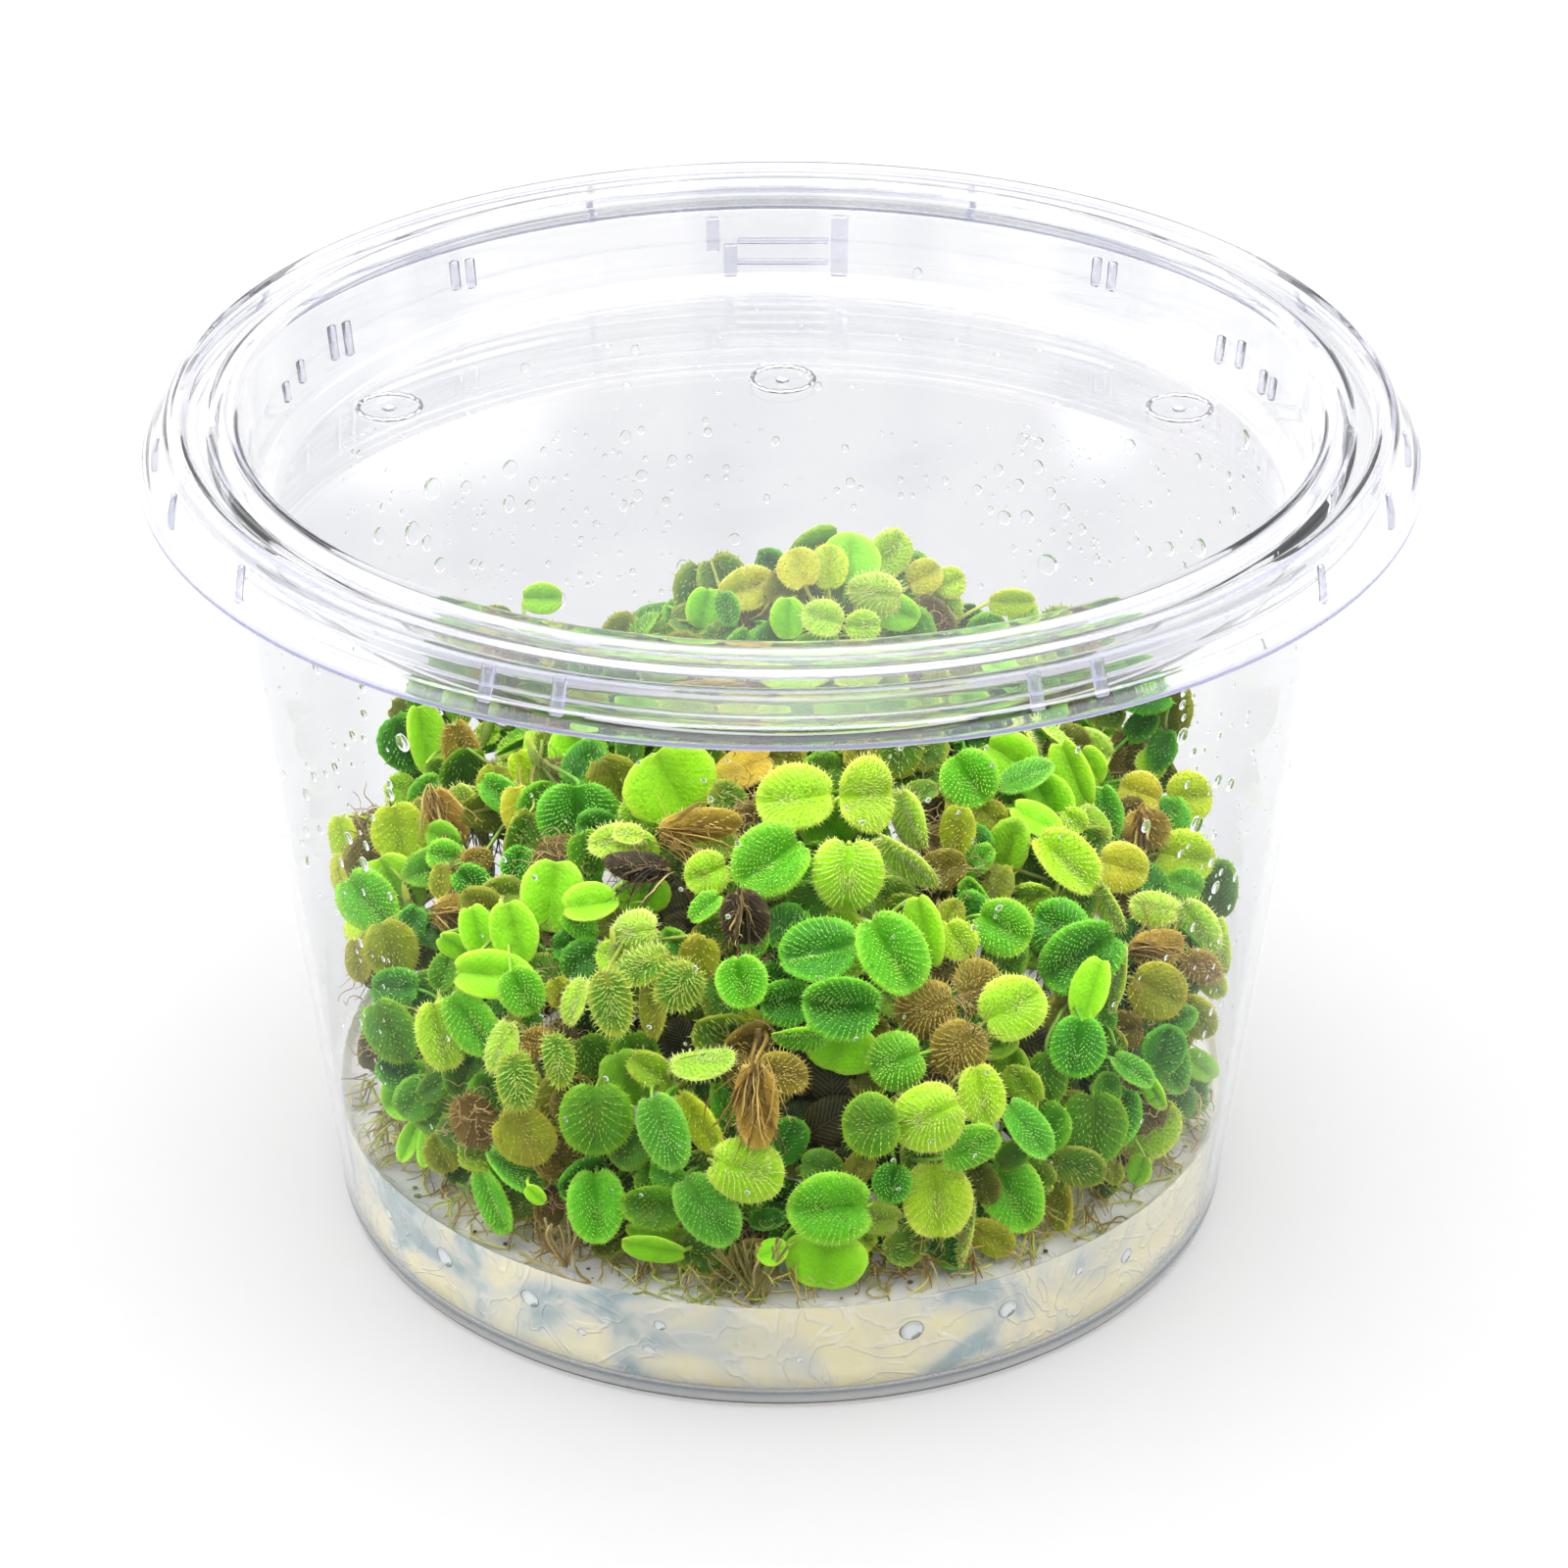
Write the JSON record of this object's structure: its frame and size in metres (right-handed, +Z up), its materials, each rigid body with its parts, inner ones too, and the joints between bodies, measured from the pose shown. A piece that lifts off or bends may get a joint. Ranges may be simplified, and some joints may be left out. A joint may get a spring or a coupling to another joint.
{
  "type": "lidded culture cup of salvinia plantlets",
  "caption": "Clear round culture cup with a sunken press-on lid, holding a layer of clear gel and a heap of small round-leaved floating fern plantlets.",
  "frame": {"origin": "centre of the cup's foot ring, on the surface it stands on", "axes": "+Z up along the cup's axis, -Y towards the side that the picture shows, +X to that side's right"},
  "size_m": [0.105, 0.105, 0.0742],
  "materials": {
    "cup_plastic": "gloss",
    "lid_plastic": "gloss",
    "agar": "gloss",
    "leaf": "satin",
    "dead_leaf": "matte"
  },
  "bodies": {
    "root": {"agar_gel": "agar", "cup": "cup_plastic", "dead_frond_01": "dead_leaf", "dead_frond_02": "dead_leaf", "dead_frond_03": "dead_leaf", "dead_frond_04": "dead_leaf", "dead_frond_05": "dead_leaf", "dead_frond_06": "dead_leaf", "lid": "lid_plastic", "plantlet_01": "leaf", "plantlet_02": "leaf", "plantlet_03": "leaf", "plantlet_04": "leaf", "plantlet_05": "leaf", "plantlet_06": "leaf", "plantlet_07": "leaf", "plantlet_08": "leaf", "plantlet_09": "leaf", "plantlet_10": "leaf", "plantlet_11": "leaf", "plantlet_12": "leaf", "plantlet_13": "leaf", "plantlet_14": "leaf", "plantlet_15": "leaf", "plantlet_16": "leaf", "plantlet_17": "leaf", "plantlet_18": "leaf", "plantlet_19": "leaf", "plantlet_20": "leaf", "plantlet_21": "leaf", "plantlet_22": "leaf", "plantlet_23": "leaf", "plantlet_24": "leaf", "plantlet_25": "leaf", "plantlet_26": "leaf", "plantlet_27": "leaf", "plantlet_28": "leaf", "plantlet_29": "leaf", "plantlet_30": "leaf", "plantlet_31": "leaf", "plantlet_32": "leaf", "plantlet_33": "leaf", "plantlet_34": "leaf", "plantlet_35": "leaf", "plantlet_36": "leaf", "plantlet_37": "leaf", "plantlet_38": "leaf", "plantlet_39": "leaf", "plantlet_40": "leaf", "plantlet_41": "leaf", "plantlet_42": "leaf", "plantlet_43": "leaf", "plantlet_44": "leaf", "plantlet_45": "leaf", "plantlet_46": "leaf", "plantlet_47": "leaf", "plantlet_48": "leaf", "plantlet_49": "leaf", "plantlet_50": "leaf", "plantlet_51": "leaf"}
  },
  "joints": []
}
